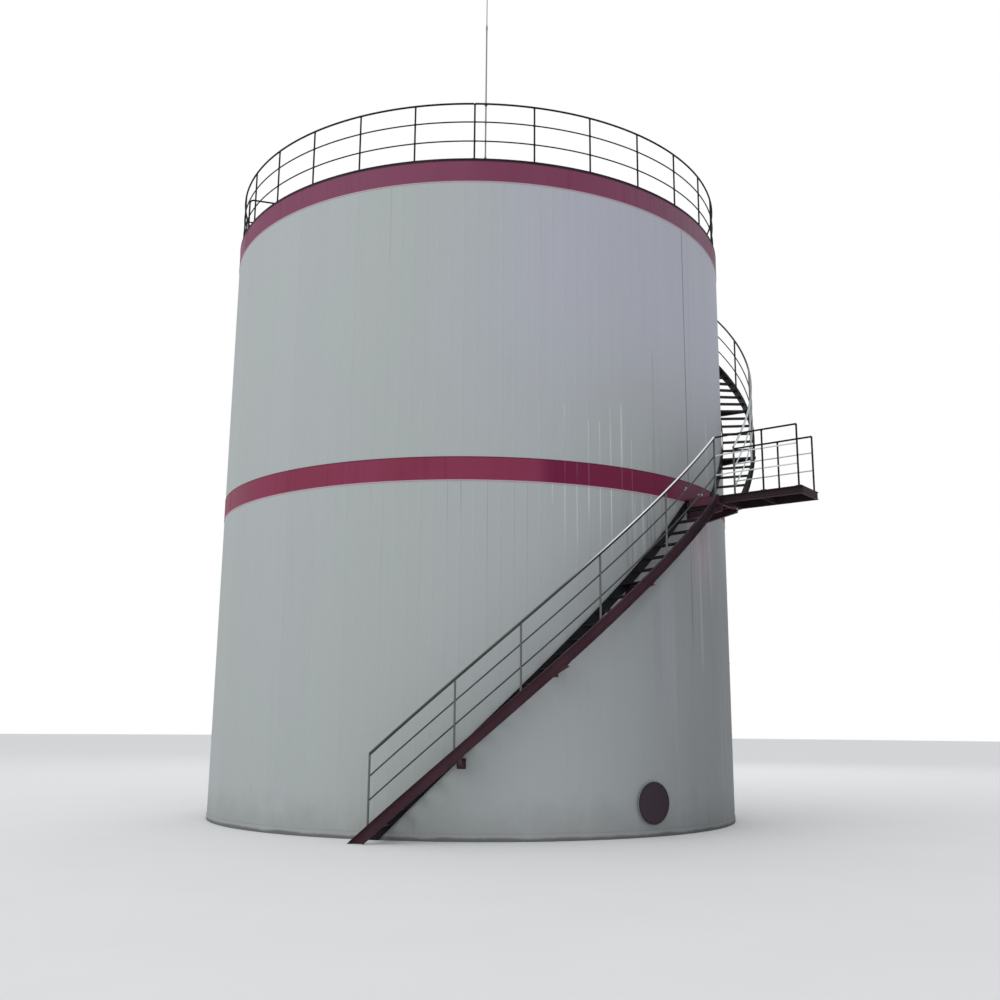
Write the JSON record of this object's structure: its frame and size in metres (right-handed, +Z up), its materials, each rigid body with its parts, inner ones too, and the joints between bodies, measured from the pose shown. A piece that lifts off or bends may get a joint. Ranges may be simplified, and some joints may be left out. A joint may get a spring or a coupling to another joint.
{
  "type": "anaerobic wastewater reactor",
  "caption": "Upright insulated steel reactor tank with two maroon bands, a guardrail on its low cone roof, and a stair winding round the wall by a landing and short bridge.",
  "frame": {"origin": "On the ground at the centre of the tank's floor plate.", "axes": "+Z is up along the tank's axis. -Y is the side that the picture faces, and +X is the side of the landing and bridge."},
  "size_m": [10.7836, 10.6651, 15.3709],
  "materials": {
    "grey_cladding": "pale grey painted sheet cladding, dull, streaked by rain",
    "crimson_paint": "dull crimson paint with pale drips below it",
    "plum_paint": "faded plum paint",
    "maroon_steel": "dark maroon paint on rolled steel, dull",
    "dark_steel": "near-black painted pipe and plate",
    "galvanised_pipe": "dull galvanised pipe"
  },
  "bodies": {
    "root": {"lower_wall_1": "grey_cladding", "lower_wall_2": "grey_cladding", "lower_wall_3": "grey_cladding", "upper_wall_1": "grey_cladding", "upper_wall_2": "grey_cladding", "upper_wall_3": "grey_cladding", "base_trim": "grey_cladding", "manhole_neck": "grey_cladding", "middle_band": "crimson_paint", "top_band": "plum_paint", "floor_plate": "dark_steel", "roof": "dark_steel", "manhole_cover": "maroon_steel", "guardrail_1": "dark_steel", "guardrail_2": "dark_steel", "guardrail_3": "dark_steel", "guardrail_4": "dark_steel", "guardrail_5": "dark_steel", "guardrail_6": "dark_steel", "roof_inner_guard": "dark_steel", "rod_base": "dark_steel", "lightning_rod": "galvanised_pipe", "lower_flight": "maroon_steel", "lower_handrail": "galvanised_pipe", "upper_flight": "maroon_steel", "upper_handrail": "dark_steel", "lower_bracket_1": "maroon_steel", "lower_bracket_2": "maroon_steel", "lower_bracket_3": "maroon_steel", "upper_bracket_1": "maroon_steel", "upper_bracket_2": "maroon_steel", "upper_bracket_3": "maroon_steel", "landing_frame": "maroon_steel", "landing_deck": "maroon_steel", "landing_bracket_1": "maroon_steel", "landing_bracket_2": "maroon_steel", "top_platform": "maroon_steel", "bridge_frame": "maroon_steel", "bridge_deck": "maroon_steel", "bridge_near_rail": "dark_steel", "bridge_far_rail": "dark_steel"}
  },
  "joints": []
}
